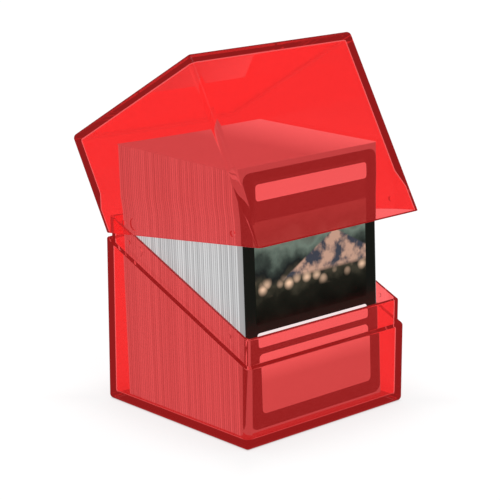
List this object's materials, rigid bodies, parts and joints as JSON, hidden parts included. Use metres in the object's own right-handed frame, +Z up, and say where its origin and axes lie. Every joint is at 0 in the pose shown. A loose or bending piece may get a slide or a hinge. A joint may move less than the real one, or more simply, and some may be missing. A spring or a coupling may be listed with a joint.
{
  "type": "card deck box",
  "caption": "Clear red two-piece box for a deck of sleeved trading cards; the lid slides over a stepped collar along a sloping seam and is shown tilted back.",
  "frame": {"origin": "centre of the base shell's flat underside", "axes": "+Z up; +X to the right along the front's width; the low front wall faces -Y and the high rear wall faces +Y"},
  "size_m": [0.0764, 0.0982, 0.1304],
  "materials": {
    "base_plastic": "clear ruby red, polished",
    "lid_plastic": "clear ruby red, polished"
  },
  "bodies": {
    "base": {"base_shell": "base_plastic"},
    "lid": {"lid_shell": "lid_plastic"}
  },
  "joints": [
    {"name": "lid_tilt", "type": "hinge", "parent": "base", "child": "lid", "pos_m": [0, 0.0393, 0.0614], "axis": [-1, 0, 0], "range_deg": [-30.1, 59.9]}
  ]
}
